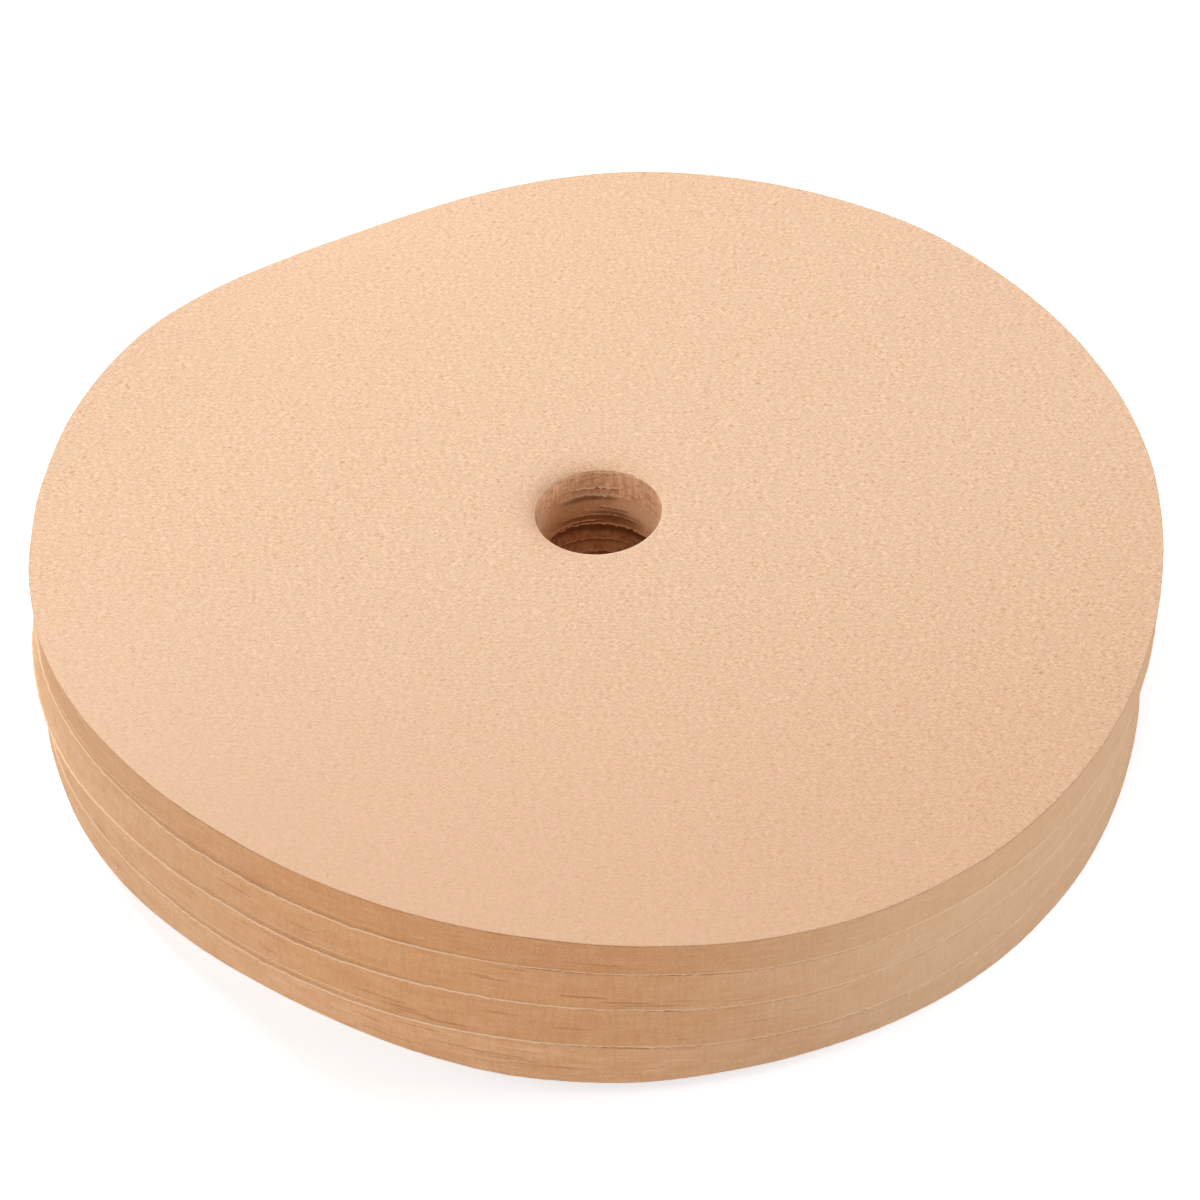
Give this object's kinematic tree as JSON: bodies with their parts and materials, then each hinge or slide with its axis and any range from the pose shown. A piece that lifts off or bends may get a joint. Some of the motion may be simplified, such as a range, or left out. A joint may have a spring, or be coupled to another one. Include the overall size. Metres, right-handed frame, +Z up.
{
  "type": "stack of paper coffee filters",
  "caption": "Flat round filters of unbleached crepe paper with a hole in the middle, lying loose in a gently warped stack of die-cut bundles.",
  "frame": {"origin": "on the surface that the stack lies on, under the middle of its bounding box", "axes": "+Z up through the stack and along the holes, +X to the right and +Y to the back as the picture shows it"},
  "size_m": [0.0966, 0.0966, 0.02],
  "materials": {
    "filter_paper": "matt unbleached crepe paper with fine fibres"
  },
  "bodies": {
    "root": {"bottom_bundle": "filter_paper", "lower_middle_bundle": "filter_paper", "upper_middle_bundle": "filter_paper", "top_bundle": "filter_paper"}
  },
  "joints": []
}
